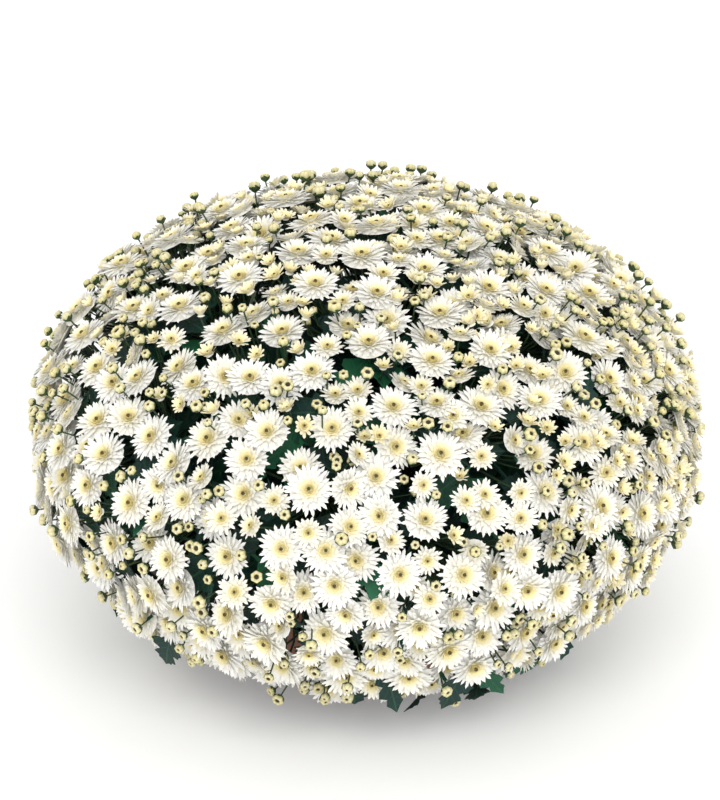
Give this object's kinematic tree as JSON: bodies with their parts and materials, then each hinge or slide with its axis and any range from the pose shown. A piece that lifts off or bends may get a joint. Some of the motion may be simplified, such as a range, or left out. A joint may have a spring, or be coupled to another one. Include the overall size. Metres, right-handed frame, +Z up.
{
  "type": "pot chrysanthemum",
  "caption": "Potted garden chrysanthemum: a ball of double white blooms with cream hearts on leafy stems, over a round nursery pot filled with soil",
  "frame": {"origin": "centre of the pot's foot on the ground, under the middle of the ball of flowers", "axes": "+Z up; -Y is the side that the picture was taken from; +X to the right in the picture"},
  "size_m": [0.5443, 0.5493, 0.3902],
  "materials": {
    "white petals": "matt, white with a cream heart",
    "dark leaves": "satin, dark green",
    "terracotta plastic": "matt moulded plastic",
    "peat": "rough damp potting soil"
  },
  "bodies": {
    "root": {"leafy_stem_01": "dark leaves", "leafy_stem_02": "dark leaves", "leafy_stem_03": "dark leaves", "leafy_stem_04": "dark leaves", "leafy_stem_05": "dark leaves", "leafy_stem_06": "dark leaves", "leafy_stem_07": "dark leaves", "leafy_stem_08": "dark leaves", "leafy_stem_09": "dark leaves", "leafy_stem_10": "dark leaves", "pot": "terracotta plastic", "soil": "peat", "spray_01": "white petals", "spray_02": "white petals", "spray_03": "white petals", "spray_04": "white petals", "spray_05": "white petals", "spray_06": "white petals", "spray_07": "white petals", "spray_08": "white petals", "spray_09": "white petals", "spray_10": "white petals", "spray_11": "white petals", "spray_12": "white petals", "spray_13": "white petals", "spray_14": "white petals", "spray_15": "white petals", "spray_16": "white petals", "spray_17": "white petals", "spray_18": "white petals", "spray_19": "white petals", "spray_20": "white petals", "spray_21": "white petals", "spray_22": "white petals", "spray_23": "white petals", "spray_24": "white petals", "spray_25": "white petals", "spray_26": "white petals", "spray_27": "white petals", "spray_28": "white petals", "spray_29": "white petals", "spray_30": "white petals", "spray_31": "white petals", "spray_32": "white petals", "spray_33": "white petals", "spray_34": "white petals", "spray_35": "white petals", "spray_36": "white petals", "spray_37": "white petals"}
  },
  "joints": []
}
